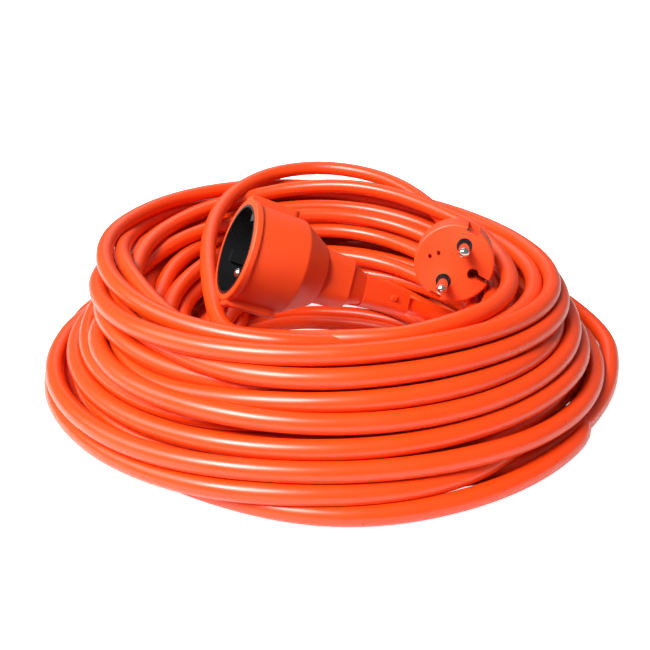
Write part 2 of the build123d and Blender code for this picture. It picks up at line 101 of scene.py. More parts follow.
# ------------------------------------------------------------------ shared shader effects
def new_group(name: str, inputs: Sequence[Skin], outputs: Sequence[Skin]) -> bpy.types.NodeTree:
    """Make an empty node group with float inputs and outputs.

    Args:
        name: the group's name.
        inputs: the inputs.
        outputs: the outputs.

    Returns:
        The group, with its input and output nodes in place.
    """
    group = bpy.data.node_groups.new(name, "ShaderNodeTree")
    for label in inputs:
        group.interface.new_socket(label.value, in_out="INPUT", socket_type="NodeSocketFloat")
    for label in outputs:
        group.interface.new_socket(label.value, in_out="OUTPUT", socket_type="NodeSocketFloat")
    group.nodes.new("NodeGroupInput").name = "in"
    group.nodes.new("NodeGroupOutput").name = "out"
    return group


def surface_texture_group() -> bpy.types.NodeTree:
    """Build the moulded-skin effect: fine grain height, slow colour drift and roughness drift.

    Returns:
        The group with its height, drift and gloss outputs.
    """
    group = new_group(
        "moulded_skin",
        (Skin.GRAIN_SCALE, Skin.DRIFT_SCALE, Skin.GLOSS_LOW, Skin.GLOSS_HIGH),
        (Skin.HEIGHT, Skin.DRIFT, Skin.GLOSS),
    )
    nodes, links = group.nodes, group.links
    place = nodes.new("ShaderNodeTexCoord")
    grain = nodes.new("ShaderNodeTexNoise")
    grain.inputs["Detail"].default_value = GRAIN_DETAIL
    drift = nodes.new("ShaderNodeTexNoise")
    drift.inputs["Detail"].default_value = DRIFT_DETAIL
    gloss = nodes.new("ShaderNodeMapRange")
    gloss.inputs["From Min"].default_value, gloss.inputs["From Max"].default_value = DRIFT_RANGE
    links.new(place.outputs["Object"], grain.inputs["Vector"])
    links.new(place.outputs["Object"], drift.inputs["Vector"])
    links.new(nodes["in"].outputs[Skin.GRAIN_SCALE.value], grain.inputs["Scale"])
    links.new(nodes["in"].outputs[Skin.DRIFT_SCALE.value], drift.inputs["Scale"])
    links.new(drift.outputs["Fac"], gloss.inputs["Value"])
    links.new(nodes["in"].outputs[Skin.GLOSS_LOW.value], gloss.inputs["To Min"])
    links.new(nodes["in"].outputs[Skin.GLOSS_HIGH.value], gloss.inputs["To Max"])
    links.new(grain.outputs["Fac"], nodes["out"].inputs[Skin.HEIGHT.value])
    links.new(drift.outputs["Fac"], nodes["out"].inputs[Skin.DRIFT.value])
    links.new(gloss.outputs["Result"], nodes["out"].inputs[Skin.GLOSS.value])
    return group


@dataclass(frozen=True)
class Finish:
    """One finish of the real object, as colours and shader values.

    Attributes:
        name: the material's name.
        light: the colour where the drift is high.
        dark: the colour where the drift is low.
        gloss: lowest and highest roughness.
        grain: height of the fine grain, in metres.
        grain_scale: how fine the grain is.
        drift_scale: how fine the drift of colour and gloss is.
        metallic: 1 for a metal.
    """

    name: str
    light: tuple[float, float, float]
    dark: tuple[float, float, float]
    gloss: tuple[float, float]
    grain: float = 0.00002
    grain_scale: float = 900.0
    drift_scale: float = 40.0
    metallic: float = 0.0

    def build(self, skin: bpy.types.NodeTree) -> bpy.types.Material:
        """Make the material.

        Args:
            skin: the shared moulded-skin group.

        Returns:
            The finished material.
        """
        material = bpy.data.materials.new(self.name)
        material.use_nodes = True
        nodes, links = material.node_tree.nodes, material.node_tree.links
        shader = nodes["Principled BSDF"]
        texture = nodes.new("ShaderNodeGroup")
        texture.node_tree = skin
        texture.inputs[Skin.GRAIN_SCALE.value].default_value = self.grain_scale
        texture.inputs[Skin.DRIFT_SCALE.value].default_value = self.drift_scale
        texture.inputs[Skin.GLOSS_LOW.value].default_value = self.gloss[0]
        texture.inputs[Skin.GLOSS_HIGH.value].default_value = self.gloss[1]
        blend = nodes.new("ShaderNodeMix")
        blend.data_type = "RGBA"
        blend.inputs["A"].default_value = (*self.dark, 1.0)
        blend.inputs["B"].default_value = (*self.light, 1.0)
        bump = nodes.new("ShaderNodeBump")
        bump.inputs["Distance"].default_value = self.grain
        bump.inputs["Strength"].default_value = GRAIN_STRENGTH
        links.new(texture.outputs[Skin.DRIFT.value], blend.inputs["Factor"])
        links.new(blend.outputs["Result"], shader.inputs[Socket.COLOR.value])
        links.new(texture.outputs[Skin.GLOSS.value], shader.inputs[Socket.ROUGHNESS.value])
        links.new(texture.outputs[Skin.HEIGHT.value], bump.inputs["Height"])
        links.new(bump.outputs["Normal"], shader.inputs[Socket.NORMAL.value])
        shader.inputs[Socket.METALLIC.value].default_value = self.metallic
        return material


CABLE = Finish("cable_pvc", (0.79, 0.054, 0.0035), (0.74, 0.045, 0.003), (0.27, 0.36),
               grain=0.000006, grain_scale=500.0)
MOULDING = Finish("orange_moulding", (0.79, 0.064, 0.006), (0.73, 0.052, 0.0045), (0.45, 0.58),
                  grain=0.00003, grain_scale=1500.0)
BLACK = Finish("black_insert", (0.012, 0.012, 0.013), (0.006, 0.006, 0.007), (0.16, 0.3))
NICKEL = Finish("pin_nickel", (0.80, 0.77, 0.72), (0.70, 0.67, 0.62), (0.1, 0.2), metallic=1.0)
STEEL = Finish("earth_strip", (0.70, 0.70, 0.70), (0.55, 0.55, 0.55), (0.22, 0.35), metallic=1.0)
BRASS = Finish("contact_brass", (0.80, 0.58, 0.25), (0.62, 0.42, 0.16), (0.2, 0.35), metallic=1.0)
CARRIER = Finish("contact_carrier", (0.62, 0.60, 0.55), (0.50, 0.48, 0.44), (0.45, 0.6))
SHUTTER = Finish("shutter_white", (0.78, 0.77, 0.72), (0.66, 0.65, 0.60), (0.4, 0.5))
CORE_BROWN = Finish("core_brown", (0.10, 0.035, 0.014), (0.06, 0.02, 0.01), (0.3, 0.4))
CORE_BLUE = Finish("core_blue", (0.012, 0.08, 0.42), (0.01, 0.06, 0.30), (0.3, 0.4))
CORE_EARTH = Finish("core_green_yellow", (0.75, 0.68, 0.03), (0.05, 0.30, 0.04), (0.3, 0.4),
                    drift_scale=400.0)

NODE_FINISH = {
    "plug_body": MOULDING, "plug_relief": MOULDING, "plug_bridge": BLACK,
    "plug_pin_live": NICKEL, "plug_pin_neutral": NICKEL, "plug_earth_strip": STEEL,
    "plug_core_live": CORE_BROWN, "plug_core_neutral": CORE_BLUE, "plug_core_earth": CORE_EARTH,
    "socket_body": MOULDING, "socket_relief": MOULDING,
    "socket_insert": BLACK, "socket_back": CARRIER,
    "socket_contact_live": BRASS, "socket_contact_neutral": BRASS, "socket_earth_pin": NICKEL,
    "socket_earth_clips": STEEL, "shutter": SHUTTER, "shutter_spring": STEEL,
    "socket_core_live": CORE_BROWN, "socket_core_neutral": CORE_BLUE,
    "socket_core_earth": CORE_EARTH,
}


# ------------------------------------------------------------------ the coil
RingCurve = Callable[[np.ndarray], np.ndarray]


def ring_curve(values: Sequence[float]) -> RingCurve:
    """Make a smooth closed function of the angle from values at equal steps round the coil.

    Args:
        values: values at 0, 45, ... 315 degrees, clockwise from the right.

    Returns:
        A function of an array of angles in degrees.
    """
    parts = np.fft.rfft(np.asarray(values, float)) / len(values)
    parts[1:(len(values) + 1) // 2] *= 2.0

    def read(angle: np.ndarray) -> np.ndarray:
        """Read the closed curve at each angle."""
        around = np.radians(np.asarray(angle, float))
        return sum((part * np.exp(1j * order * around)).real for order, part in enumerate(parts))

    return read


def eased(share: np.ndarray) -> np.ndarray:
    """Ease shares between 0 and 1, so that they start and end level.

    Args:
        share: the shares.

    Returns:
        The eased shares.
    """
    return share * share * (3 - 2 * share)


@dataclass(frozen=True)
class LooseCable:
    """The stretches of the cable that stand clear of the coil, as route points in metres.

    Attributes:
        coupler_lead: from the coupler's relief down to the first turn.
        stray_turn: the part of one turn that swings out over the floor, clockwise.
        plug_lead: from the last turn over the back to the plug's relief.
    """

    coupler_lead: tuple[Point, ...]
    stray_turn: tuple[Point, ...]
    plug_lead: tuple[Point, ...]


COUPLER_MOUTH = Vector((-0.0465, -0.0265, 0.0670))
COUPLER_OUT = Vector((-0.872, -0.270, 0.407)).normalized()
# towards the coupler's upper side, and then the same made square to its axis
COUPLER_LEAD_DEPTHS = (0.069, 0.101)
PLUG_FACE = Vector((0.0535, -0.0210, 0.0580))
PLUG_OUT = Vector((-0.19, -0.97, 0.14)).normalized()
PLUG_LEAD_DEPTHS = (0.070, 0.036)

LOOSE = LooseCable(
    coupler_lead=(
        *(tuple(COUPLER_MOUTH - COUPLER_OUT * depth) for depth in COUPLER_LEAD_DEPTHS),
        (0.0605, 0.002, 0.019),
        (0.0765, -0.0045, 0.014),
        (0.088, -0.0175, 0.0115),
        (0.0935, -0.035, 0.011),
    ),
    stray_turn=(
        (0.112, 0.053, 0.022),
        (0.130, 0.032, 0.0145),
        (0.140, 0.002, 0.009),
        (0.131, -0.030, 0.0055),
        (0.1145, -0.0605, 0.00435),
        (0.0925, -0.086, 0.00435),
    ),
    plug_lead=(
        (-0.015, -0.082, 0.048),
        (-0.036, -0.067, 0.042),
        (-0.052, -0.044, 0.034),
        (-0.060, -0.018, 0.039),
        (-0.065, 0.007, 0.046),
        (-0.068, 0.034, 0.053),
        (-0.066, 0.063, 0.060),
        (-0.056, 0.091, 0.066),
        (-0.035, 0.113, 0.070),
        (-0.003, 0.120, 0.071),
        (0.031, 0.104, 0.068),
        (0.054, 0.077, 0.060),
        *(tuple(PLUG_FACE - PLUG_OUT * depth) for depth in PLUG_LEAD_DEPTHS),
    ),
)


@dataclass(frozen=True)
class Guard:
    """A round body that the coil's turns stay out of.

    Attributes:
        start: one end of its axis.
        end: the other end of its axis.
        radius: its radius.
    """

    start: Vector
    end: Vector
    radius: float


# each round part of the plug and of the coupler, as its two depths behind the face and its radius
PLUG_ROUNDS = ((0.0, 0.020, 0.0190), (0.020, 0.036, 0.0125), (0.036, 0.060, 0.0080))
COUPLER_ROUNDS = ((0.008, 0.028, 0.0245), (0.040, 0.058, 0.0150), (0.060, 0.091, 0.0090))


@dataclass(frozen=True)
class Join:
    """How an end of the coil leans away from the lead that it meets.

    Attributes:
        lean_radius: metres outwards for each degree from the lead.
        lean_height: metres upwards for each degree from the lead.
        reach: degrees over which it leans.
    """

    lean_radius: float
    lean_height: float
    reach: float


@dataclass(frozen=True)
class Lead:
    """The plug's lead where it crosses the coil, one value for each station of a turn.

    Attributes:
        here: whether the lead passes the station.
        radius: the lead's radius there.
        height: the lead's height there.
    """

    here: np.ndarray
    radius: np.ndarray
    height: np.ndarray


@dataclass
class Lay:
    """The turns before they are pressed apart, as tables of turns by stations.

    Attributes:
        angle: the angle of each station in degrees, counted on from turn to turn.
        live: where the coil has cable.
        pinned: where the cable may not move.
        radius: the radius that each station wants.
        height: the height that each station wants.
        ceiling: the greatest height of each station.
    """

    angle: np.ndarray
    live: np.ndarray
    pinned: np.ndarray
    radius: np.ndarray
    height: np.ndarray
    ceiling: np.ndarray


@dataclass
class CoilWinder:
    """Winds the coil: every turn gets a place in the heap, and the turns are then pressed apart.

    Angles run clockwise from the right, so 90 degrees is the front and 180 degrees the left.
    Lengths are in metres and the leads' leans are per degree.

    Attributes:
        centre_x: where the coil's middle lies.
        steps_per_turn: the stations of one turn.
        first_step: the first station with cable in the first turn.
        last_step: the last station with cable in the last turn.
        full_turns: the turns before the last, part one.
        diameter: the cable's diameter.
        floor_radius: the radius of the outermost turn near the floor.
        floor_height: the height at which the outer side starts to lean in.
        step_depth: how far the outer side is stepped, row by row.
        step_rows: the rows that the steps stand for.
        foot_height: the height below which the inner side runs in.
        top_height: the height of the heap's top round the coil.
        top_radius: the radius of the outer side at the top.
        inner_radius: the radius of the inner side above its foot.
        inner_foot: how far the inner side runs in at the floor.
        rows: the rows of turns, from the floor to row_top.
        row_top: the height at which a row's width is last measured.
        row_stations: the degrees between the places where it is measured.
        mean_weight: the mean width's weight against the least width.
        stagger: how far every second row is shifted, in turns.
        least_in_row: the fewest turns of a row.
        loosest: the widest spacing in a row that is tried, in diameters.
        tightest: the spacing at which the search ends.
        tighter_by: the step of the search.
        top_row: the level above which a place belongs to the top row.
        beside_lead: the places across of the last two full turns.
        swaps: turns that trade places, so that they cross.
        seed: the seed of the random draws.
        earliest_move: the earliest part of a round at which a turn changes its place.
        latest_move: the latest part.
        move_part: the part of a round that the change takes.
        wander: the size of the slow wandering outwards.
        wander_up: the share of it that goes up.
        wander_knots: the changes of the wandering in each turn.
        wander_radius: turns narrower than this wander less.
        least_wander: the least share before it is squared.
        crossing_rise: how far a turn rises to pass over its neighbours.
        crossing_width: the row's width that a move across is reckoned with.
        crossing_from: the move across at which a turn starts to rise.
        crossing_blend: the further move at which it rises fully.
        crossing_level: the level above which turns rise.
        headroom: how far a turn may rise above the heap's top.
        stray_index: the turn that strays.
        stray_blend: the degrees over which it leaves the heap and comes back.
        join_angle: the degrees over which the ends leave their leads.
        pinned_angle: the degrees over which they follow the lead exactly.
        first_join: the lean where the coupler's lead joins.
        last_join: the lean where the plug's lead joins.
        rounds: the rounds of pressing.
        early_part: the part of the rounds that counts as early.
        early_pull: the pull to the wanted place in an early round.
        late_pull: the pull in a late round.
        sink: how far the turns sink in a round.
        smoothing: the share of a bump that is evened out in a round.
        spacing: the wanted spacing, in diameters.
        pushes: the pushes in a round.
        push_share: the share of an overlap that a push takes away.
        outer_slack: how far a turn may stand out of the outer side.
        inner_slack: how far it may stand out of the inner side.
        close_share: the share of the diameter under which the log counts turns as close.
    """

    centre_x: float = -0.0060
    steps_per_turn: int = 40
    first_step: int = 3
    last_step: int = 8
    full_turns: int = 38
    diameter: float = CABLE_DIAMETER
    floor_radius: float = 0.1330
    floor_height: float = 0.0115
    step_depth: float = 0.0015
    step_rows: int = 8
    foot_height: float = 0.0400
    top_height: RingCurve = ring_curve(
        [0.0500, 0.0505, 0.0500, 0.0490, 0.0525, 0.0600, 0.0610, 0.0545])
    top_radius: RingCurve = ring_curve(
        [0.1070, 0.1045, 0.1040, 0.1055, 0.1080, 0.1165, 0.1165, 0.1120])
    inner_radius: RingCurve = ring_curve(
        [0.0820, 0.0810, 0.0800, 0.0760, 0.0670, 0.0700, 0.0760, 0.0800])
    inner_foot: RingCurve = ring_curve(
        [0.0300, 0.0190, 0.0100, 0.0140, 0.0210, 0.0330, 0.0440, 0.0430])

    # the places of the turns in the heap
    rows: int = 7
    row_top: float = 0.0490
    row_stations: float = 15.0
    mean_weight: float = 0.35
    stagger: float = 0.35
    least_in_row: int = 3
    loosest: float = 1.5
    tightest: float = 0.9
    tighter_by: float = 0.01
    top_row: float = 0.99
    beside_lead: tuple[float, float] = (1.0, 0.78)
    swaps: tuple[tuple[int, int], ...] = ((0, 2), (13, 16), (21, 24), (27, 29), (31, 34))

    # the way from one place to the next, and the wandering
    seed: int = 11
    earliest_move: float = 0.15
    latest_move: float = 0.6
    move_part: float = 0.4
    wander: float = 0.0042
    wander_up: float = 0.6
    wander_knots: int = 5
    wander_radius: float = 0.1
    least_wander: float = 0.3
    crossing_rise: float = 0.0070
    crossing_width: float = 0.035
    crossing_from: float = 0.010
    crossing_blend: float = 0.006
    crossing_level: float = 0.6
    headroom: float = 0.0025

    # the fixed stretches
    stray_index: int = 5
    stray_blend: float = 70.0
    join_angle: float = 150.0
    pinned_angle: float = 30.0
    first_join: Join = Join(0.00050, -0.00008, 12.0)
    last_join: Join = Join(0.00030, 0.00012, 45.0)

    # pressing the turns apart
    rounds: int = 420
    early_part: float = 0.6
    early_pull: float = 0.06
    late_pull: float = 0.015
    sink: float = 0.00003
    smoothing: float = 0.5
    spacing: float = 1.01
    pushes: int = 2
    push_share: float = 0.8
    outer_slack: float = 0.0015
    inner_slack: float = 0.002
    close_share: float = 0.9

    def outer_radius(self, angle: np.ndarray, height: np.ndarray) -> np.ndarray:
        """Give the radius of the heap's outer side.

        Args:
            angle: angles in degrees.
            height: heights above the floor.

        Returns:
            The radius for each angle and height.
        """
        top_r = self.top_radius(angle)
        top_z = self.top_height(angle)
        rise = np.clip((height - self.floor_height) / (top_z - self.floor_height), 0.0, 1.0)
        stepped = self.step_depth * (1 - np.abs(rise * self.step_rows - 0.5).clip(0, 1))
        return self.floor_radius + stepped - (self.floor_radius - top_r) * rise

    def inner_edge(self, angle: np.ndarray, height: np.ndarray) -> np.ndarray:
        """Give the radius of the heap's inner side, which runs in towards the floor.

        Args:
            angle: angles in degrees.
            height: heights above the floor.

        Returns:
            The radius for each angle and height.
        """
        rise = np.clip((height - self.diameter / 2) / self.foot_height, 0.0, 1.0)
        return self.inner_radius(angle) - self.inner_foot(angle) * (1.0 - rise)

    def homes(self) -> np.ndarray:
        """Give each turn a place in the section, as shares across and up, bottom row first.

        Returns:
            An array of (across, up) shares, one row for each turn.
        """
        for looseness in np.arange(self.loosest, self.tightest, -self.tighter_by):
            places = self.rows_of_homes(float(looseness))
            if len(places) >= self.full_turns + 1:
                break
        else:
            raise ValueError(f"only {len(places)} places for {self.full_turns + 1} turns")
        log.info("coil: %d places at a looseness of %.2f", len(places), looseness)
        places = places[:self.full_turns + 1]
        top = np.nonzero(places[:, 1] > self.top_row)[0]
        places[top] = places[top[::-1]]
        # the plug's lead has room inside the last two full turns
        places[-3:-1, 0] = self.beside_lead
        for first, second in self.swaps:
            places[[first, second]] = places[[second, first]]
        return places

    def rows_of_homes(self, looseness: float) -> np.ndarray:
        """Lay the turns' places in rows, back and forth.

        Args:
            looseness: the spacing within a row, in diameters.

        Returns:
            An array of (across, up) shares.
        """
        places = []
        low = self.diameter / 2
        for row in range(self.rows):
            up = row / (self.rows - 1)
            height = low + up * (self.row_top - low)
            stations = np.arange(0.0, FULL_TURN, self.row_stations)
            level = np.full_like(stations, height)
            spans = self.outer_radius(stations, level) - self.inner_edge(stations, level)
            mean, least = float(spans.mean()), float(spans.min())
            wide = self.mean_weight * mean + (1 - self.mean_weight) * least
            count = max(self.least_in_row, int(wide / (self.diameter * looseness)) + 1)
            shift = self.stagger if row % 2 else 0.0
            length = count - (1 - self.stagger)
            line = [min(1.0, (index + shift) / length) for index in range(count)]
            if row % 2:
                line.reverse()
            places += [(share, up) for share in line]
        return np.array(places)

    def polar(self, points: Sequence[Point]) -> tuple[np.ndarray, np.ndarray, np.ndarray]:
        """Turn points into places about the coil's middle.

        Args:
            points: the points.

        Returns:
            Clockwise angles in degrees, radii and heights.
        """
        spots = np.array(points)
        across = spots[:, 0] - self.centre_x
        angle = np.degrees(np.unwrap(np.arctan2(-spots[:, 1], across)))
        return angle, np.hypot(across, spots[:, 1]), spots[:, 2]

    def wind(self, loose: LooseCable, guards: Sequence[Guard]) -> list[Point]:
        """Work out the coil's control points, from the coupler's lead to the plug's lead.

        Args:
            loose: the stretches that the coil joins.
            guards: the bodies that the turns stay clear of.

        Returns:
            The points of the coil, in order.
        """
        steps = self.steps_per_turn
        lay = self.first_lay()
        self.stray_turn(lay, loose)
        angle, radius, height = self.polar(loose.plug_lead)
        angle = np.where(angle < 0, angle + FULL_TURN, angle)
        self.join_ends(lay, loose, (angle[0], radius[0], height[0]))
        station = np.arange(steps) * FULL_TURN / steps
        lead = Lead(
            (station > angle[0]) & (station < angle[-2]),
            np.interp(station, angle[:-1], radius[:-1]),
            np.interp(station, angle[:-1], height[:-1]),
        )
        return self.settle(lay, lead, guards)

    def first_lay(self) -> Lay:
        """Lay every turn along its own place in the heap and over to the next one's.

        Returns:
            The turns, with nothing pinned yet.
        """
        rng = np.random.default_rng(self.seed)
        steps, turns = self.steps_per_turn, self.full_turns + 1
        order = np.arange(turns * steps)
        live = (order >= self.first_step) & (order <= self.last_step + steps * self.full_turns)
        angle = (order * FULL_TURN / steps).reshape(turns, steps)
        # every turn moves from its own place to the next one's over a part of the round
        homes = self.homes()
        progress = order / steps
        index = np.minimum(progress.astype(int), turns - 1)
        shifts = rng.uniform(self.earliest_move, self.latest_move, turns)
        # the last full turn stays outside the plug's lead until it is past the front
        shifts[-2] = self.latest_move
        ease = eased(np.clip((progress - index - shifts[index]) / self.move_part, 0.0, 1.0))
        following = np.minimum(index + 1, turns - 1)
        share = homes[index] * (1 - ease[:, None]) + homes[following] * ease[:, None]
        low = self.diameter / 2
        height = low + share[:, 1].reshape(turns, steps) * (self.top_height(angle) - low)
        inner = self.inner_edge(angle, height)
        outer = self.outer_radius(angle, height)
        radius = inner + share[:, 0].reshape(turns, steps) * (outer - inner)
        # slow wandering, different along every turn and less for the narrow ones
        knots = rng.normal(size=(2, turns * self.wander_knots + 2))
        spot = progress * float(self.wander_knots)
        base = spot.astype(int)
        mix = eased(spot - base)
        drift = knots[:, base] * (1 - mix) + knots[:, base + 1] * mix
        narrow = np.clip(radius / self.wander_radius, self.least_wander, 1.0) ** 2
        radius = radius + self.wander * drift[0].reshape(turns, steps) * narrow
        height = height + self.wander_up * self.wander * drift[1].reshape(turns, steps)
        # a turn that moves across its row passes over its neighbours
        stride = np.abs(homes[following, 0] - homes[index, 0]) * self.crossing_width
        strength = np.clip((stride - self.crossing_from) / self.crossing_blend, 0.0, 1.0)
        hump = self.crossing_rise * strength * np.sin(np.pi * ease)
        hump = np.where(homes[index, 1] > self.crossing_level, hump, 0.0).reshape(turns, steps)
        live = live.reshape(turns, steps)
        height = np.maximum(height + hump, low)
        ceiling = self.top_height(angle) + self.headroom + hump
        return Lay(angle, live, np.zeros_like(live), radius, height, ceiling)

    def join_ends(self, lay: Lay, loose: LooseCable, lead_start: Point) -> None:
        """Lead the first turn out of the coupler's lead and the last turn into the plug's lead.

        Args:
            lay: the turns, which are changed.
            loose: the stretches that the coil joins.
            lead_start: angle, radius and height of the plug lead's first point.
        """
        angle, radius, height = self.polar(loose.coupler_lead[-1:])
        last_gap = lead_start[0] + FULL_TURN * self.full_turns - lay.angle
        ends = (
            (lay.angle - angle[0], radius[0], height[0], self.first_join),
            (last_gap, lead_start[1], lead_start[2], self.last_join),
        )
        for gap, end_r, end_z, join in ends:
            share = np.where(gap < 0, 0.0, eased(np.clip(1.0 - gap / self.join_angle, 0.0, 1.0)))
            lean = np.clip(gap, 0.0, join.reach)
            lay.radius = lay.radius * (1 - share) + (end_r + lean * join.lean_radius) * share
            lay.height = lay.height * (1 - share) + (end_z + lean * join.lean_height) * share
            lay.pinned = lay.pinned | ((gap >= 0) & (gap < self.pinned_angle))

    def stray_turn(self, lay: Lay, loose: LooseCable) -> None:
        """Lead one turn of the bottom row out along the stray turn's points.

        Args:
            lay: the turns, which are changed.
            loose: the stretches that stand clear of the coil.
        """
        turn_a, turn_r, turn_z = self.polar(loose.stray_turn)
        turn_a = turn_a + FULL_TURN * self.stray_index
        gap = np.maximum(turn_a[0] - lay.angle, lay.angle - turn_a[-1])
        share = eased(np.clip(1.0 - gap / self.stray_blend, 0.0, 1.0))
        lay.radius = lay.radius * (1 - share) + np.interp(lay.angle, turn_a, turn_r) * share
        lay.height = lay.height * (1 - share) + np.interp(lay.angle, turn_a, turn_z) * share
        lay.pinned = lay.pinned | (lay.angle >= turn_a[0]) & (lay.angle <= turn_a[-1])

    def settle(self, lay: Lay, lead: Lead, guards: Sequence[Guard]) -> list[Point]:
        """Press the turns apart, keeping them smooth, in the heap and out of the guards.

        Args:
            lay: the turns and where they want to be.
            lead: the plug's lead, which the turns stay clear of.
            guards: the bodies that the turns stay clear of.

        Returns:
            The points of the coil, in order.
        """
        radius, height = lay.radius.copy(), lay.height.copy()
        keep = (lay.live & ~lay.pinned).astype(float)
        itself = np.eye(len(lay.live), dtype=bool)[:, :, None]
        pair = lay.live[:, None, :] & lay.live[None, :, :] & ~itself
        for step in range(self.rounds):
            pull = self.early_pull if step < self.rounds * self.early_part else self.late_pull
            radius += keep * pull * (lay.radius - radius)
            height += keep * (pull * (lay.height - height) - self.sink)
            self.smooth(lay, radius, lay.radius)
            self.smooth(lay, height, lay.height)
            for _ in range(self.pushes):
                self.push_apart(radius, height, keep, pair)
                self.push_from_lead(radius, height, keep, lead)
            for guard in guards:
                radius, height = self.keep_out(guard, lay, radius, height, keep)
            radius, height = self.hold_in(lay, radius, height)
        self.log_closest(radius, height, pair)
        return self.points_of(lay, radius, height)

    def smooth(self, lay: Lay, values: np.ndarray, wanted: np.ndarray) -> None:
        """Even out how far the cable has been pushed from where it wants to be.

        Args:
            lay: the turns.
            values: radii or heights, which are changed.
            wanted: the radii or heights that the stations want.
        """
        flat = values.ravel()
        off = flat - wanted.ravel()
        ahead, behind = np.roll(off, -1), np.roll(off, 1)
        live = lay.live.ravel()
        inside = live & np.roll(live, 1) & np.roll(live, -1)
        mask = inside & ~lay.pinned.ravel()
        flat[mask] += (self.smoothing * ((ahead + behind) / 2 - off))[mask]

    def push_apart(self, radius: np.ndarray, height: np.ndarray, keep: np.ndarray,
                   pair: np.ndarray) -> None:
        """Push overlapping turns apart at every station.

        Args:
            radius: the radii, which are changed.
            height: the heights, which are changed.
            keep: 1 where the cable may move, otherwise 0.
            pair: which two turns both have cable at a station.
        """
        gap = self.diameter * self.spacing
        dr = radius[:, None, :] - radius[None, :, :]
        dz = height[:, None, :] - height[None, :, :]
        apart = np.sqrt(dr * dr + dz * dz) + TINY
        push = np.where(pair & (apart < gap), (gap - apart) / apart * 0.5, 0.0)
        share = keep[:, None, :] * (2.0 - keep[None, :, :])
        radius += self.push_share * (share * push * dr).sum(axis=1)
        height += self.push_share * (share * push * dz).sum(axis=1)

    def push_from_lead(self, radius: np.ndarray, height: np.ndarray, keep: np.ndarray,
                       lead: Lead) -> None:
        """Push the turns off the plug's lead.

        Args:
            radius: the radii, which are changed.
            height: the heights, which are changed.
            keep: 1 where the cable may move, otherwise 0.
            lead: the plug's lead.
        """
        gap = self.diameter * self.spacing
        dr, dz = radius - lead.radius[None, :], height - lead.height[None, :]
        apart = np.sqrt(dr * dr + dz * dz) + TINY
        push = np.where(lead.here[None, :] & (apart < gap), (gap - apart) / apart, 0.0)
        radius += keep * push * dr
        height += keep * push * dz

    def keep_out(self, guard: Guard, lay: Lay, radius: np.ndarray, height: np.ndarray,
                 keep: np.ndarray) -> tuple[np.ndarray, np.ndarray]:
        """Push the turns out of one round body, within their own section of the coil.

        Args:
            guard: the round body.
            lay: the turns.
            radius: the radii.
            height: the heights.
            keep: 1 where the cable may move, otherwise 0.

        Returns:
            The new radii and heights.
        """
        cos_a, sin_a = np.cos(np.radians(lay.angle)), np.sin(np.radians(lay.angle))
        spots = np.stack([self.centre_x + radius * cos_a, -radius * sin_a, height], axis=-1)
        start, end = np.array(guard.start), np.array(guard.end)
        axis = end - start
        length = np.linalg.norm(axis)
        axis = axis / length
        along = np.clip((spots - start) @ axis, 0.0, length)
        away = spots - (start + along[..., None] * axis)
        apart = np.linalg.norm(away, axis=-1) + TINY
        deep = guard.radius + self.diameter / 2 - apart
        unit = away / apart[..., None]
        in_r = unit[..., 0] * cos_a - unit[..., 1] * sin_a
        in_z = unit[..., 2]
        norm = np.sqrt(in_r ** 2 + in_z ** 2) + SMALL
        move = np.where(deep > 0, deep, 0.0) * keep
        return radius + move * in_r / norm, height + move * in_z / norm

    def hold_in(self, lay: Lay, radius: np.ndarray,
                height: np.ndarray) -> tuple[np.ndarray, np.ndarray]:
        """Hold the turns over the floor and within the heap's outline.

        Args:
            lay: the turns.
            radius: the radii.
            height: the heights.

        Returns:
            The new radii and heights.
        """
        height = np.maximum(height, self.diameter / 2)
        height = np.where(lay.pinned, height, np.minimum(height, lay.ceiling))
        limit = self.outer_radius(lay.angle, height) + self.outer_slack
        radius = np.where(lay.pinned, radius, np.minimum(radius, limit))
        edge = self.inner_edge(lay.angle, height) - self.inner_slack
        return np.where(lay.pinned, radius, np.maximum(radius, edge)), height

    def points_of(self, lay: Lay, radius: np.ndarray, height: np.ndarray) -> list[Point]:
        """Turn the radii and heights into points.

        Args:
            lay: the turns.
            radius: the radii.
            height: the heights.

        Returns:
            The points of the coil, in order.
        """
        cos_a, sin_a = np.cos(np.radians(lay.angle)), np.sin(np.radians(lay.angle))
        points = []
        for spot in np.nonzero(lay.live.ravel())[0]:
            here = divmod(int(spot), self.steps_per_turn)
            across, back = radius[here] * cos_a[here], -radius[here] * sin_a[here]
            points.append((self.centre_x + across, back, height[here]))
        return points

    def log_closest(self, radius: np.ndarray, height: np.ndarray, pair: np.ndarray) -> None:
        """Log how close the turns still lie.

        Args:
            radius: the radii.
            height: the heights.
            pair: which two turns both have cable at a station.
        """
        dr = radius[:, None, :] - radius[None, :, :]
        dz = height[:, None, :] - height[None, :, :]
        apart = np.where(pair, np.sqrt(dr * dr + dz * dz), 1.0)
        close = float((apart < self.close_share * self.diameter).sum() / pair.sum())
        log.info("coil: closest turns %.2f mm, share of pairs under %.0f%% of the diameter %.4f",
                 apart.min() * 1000, self.close_share * 100, close)


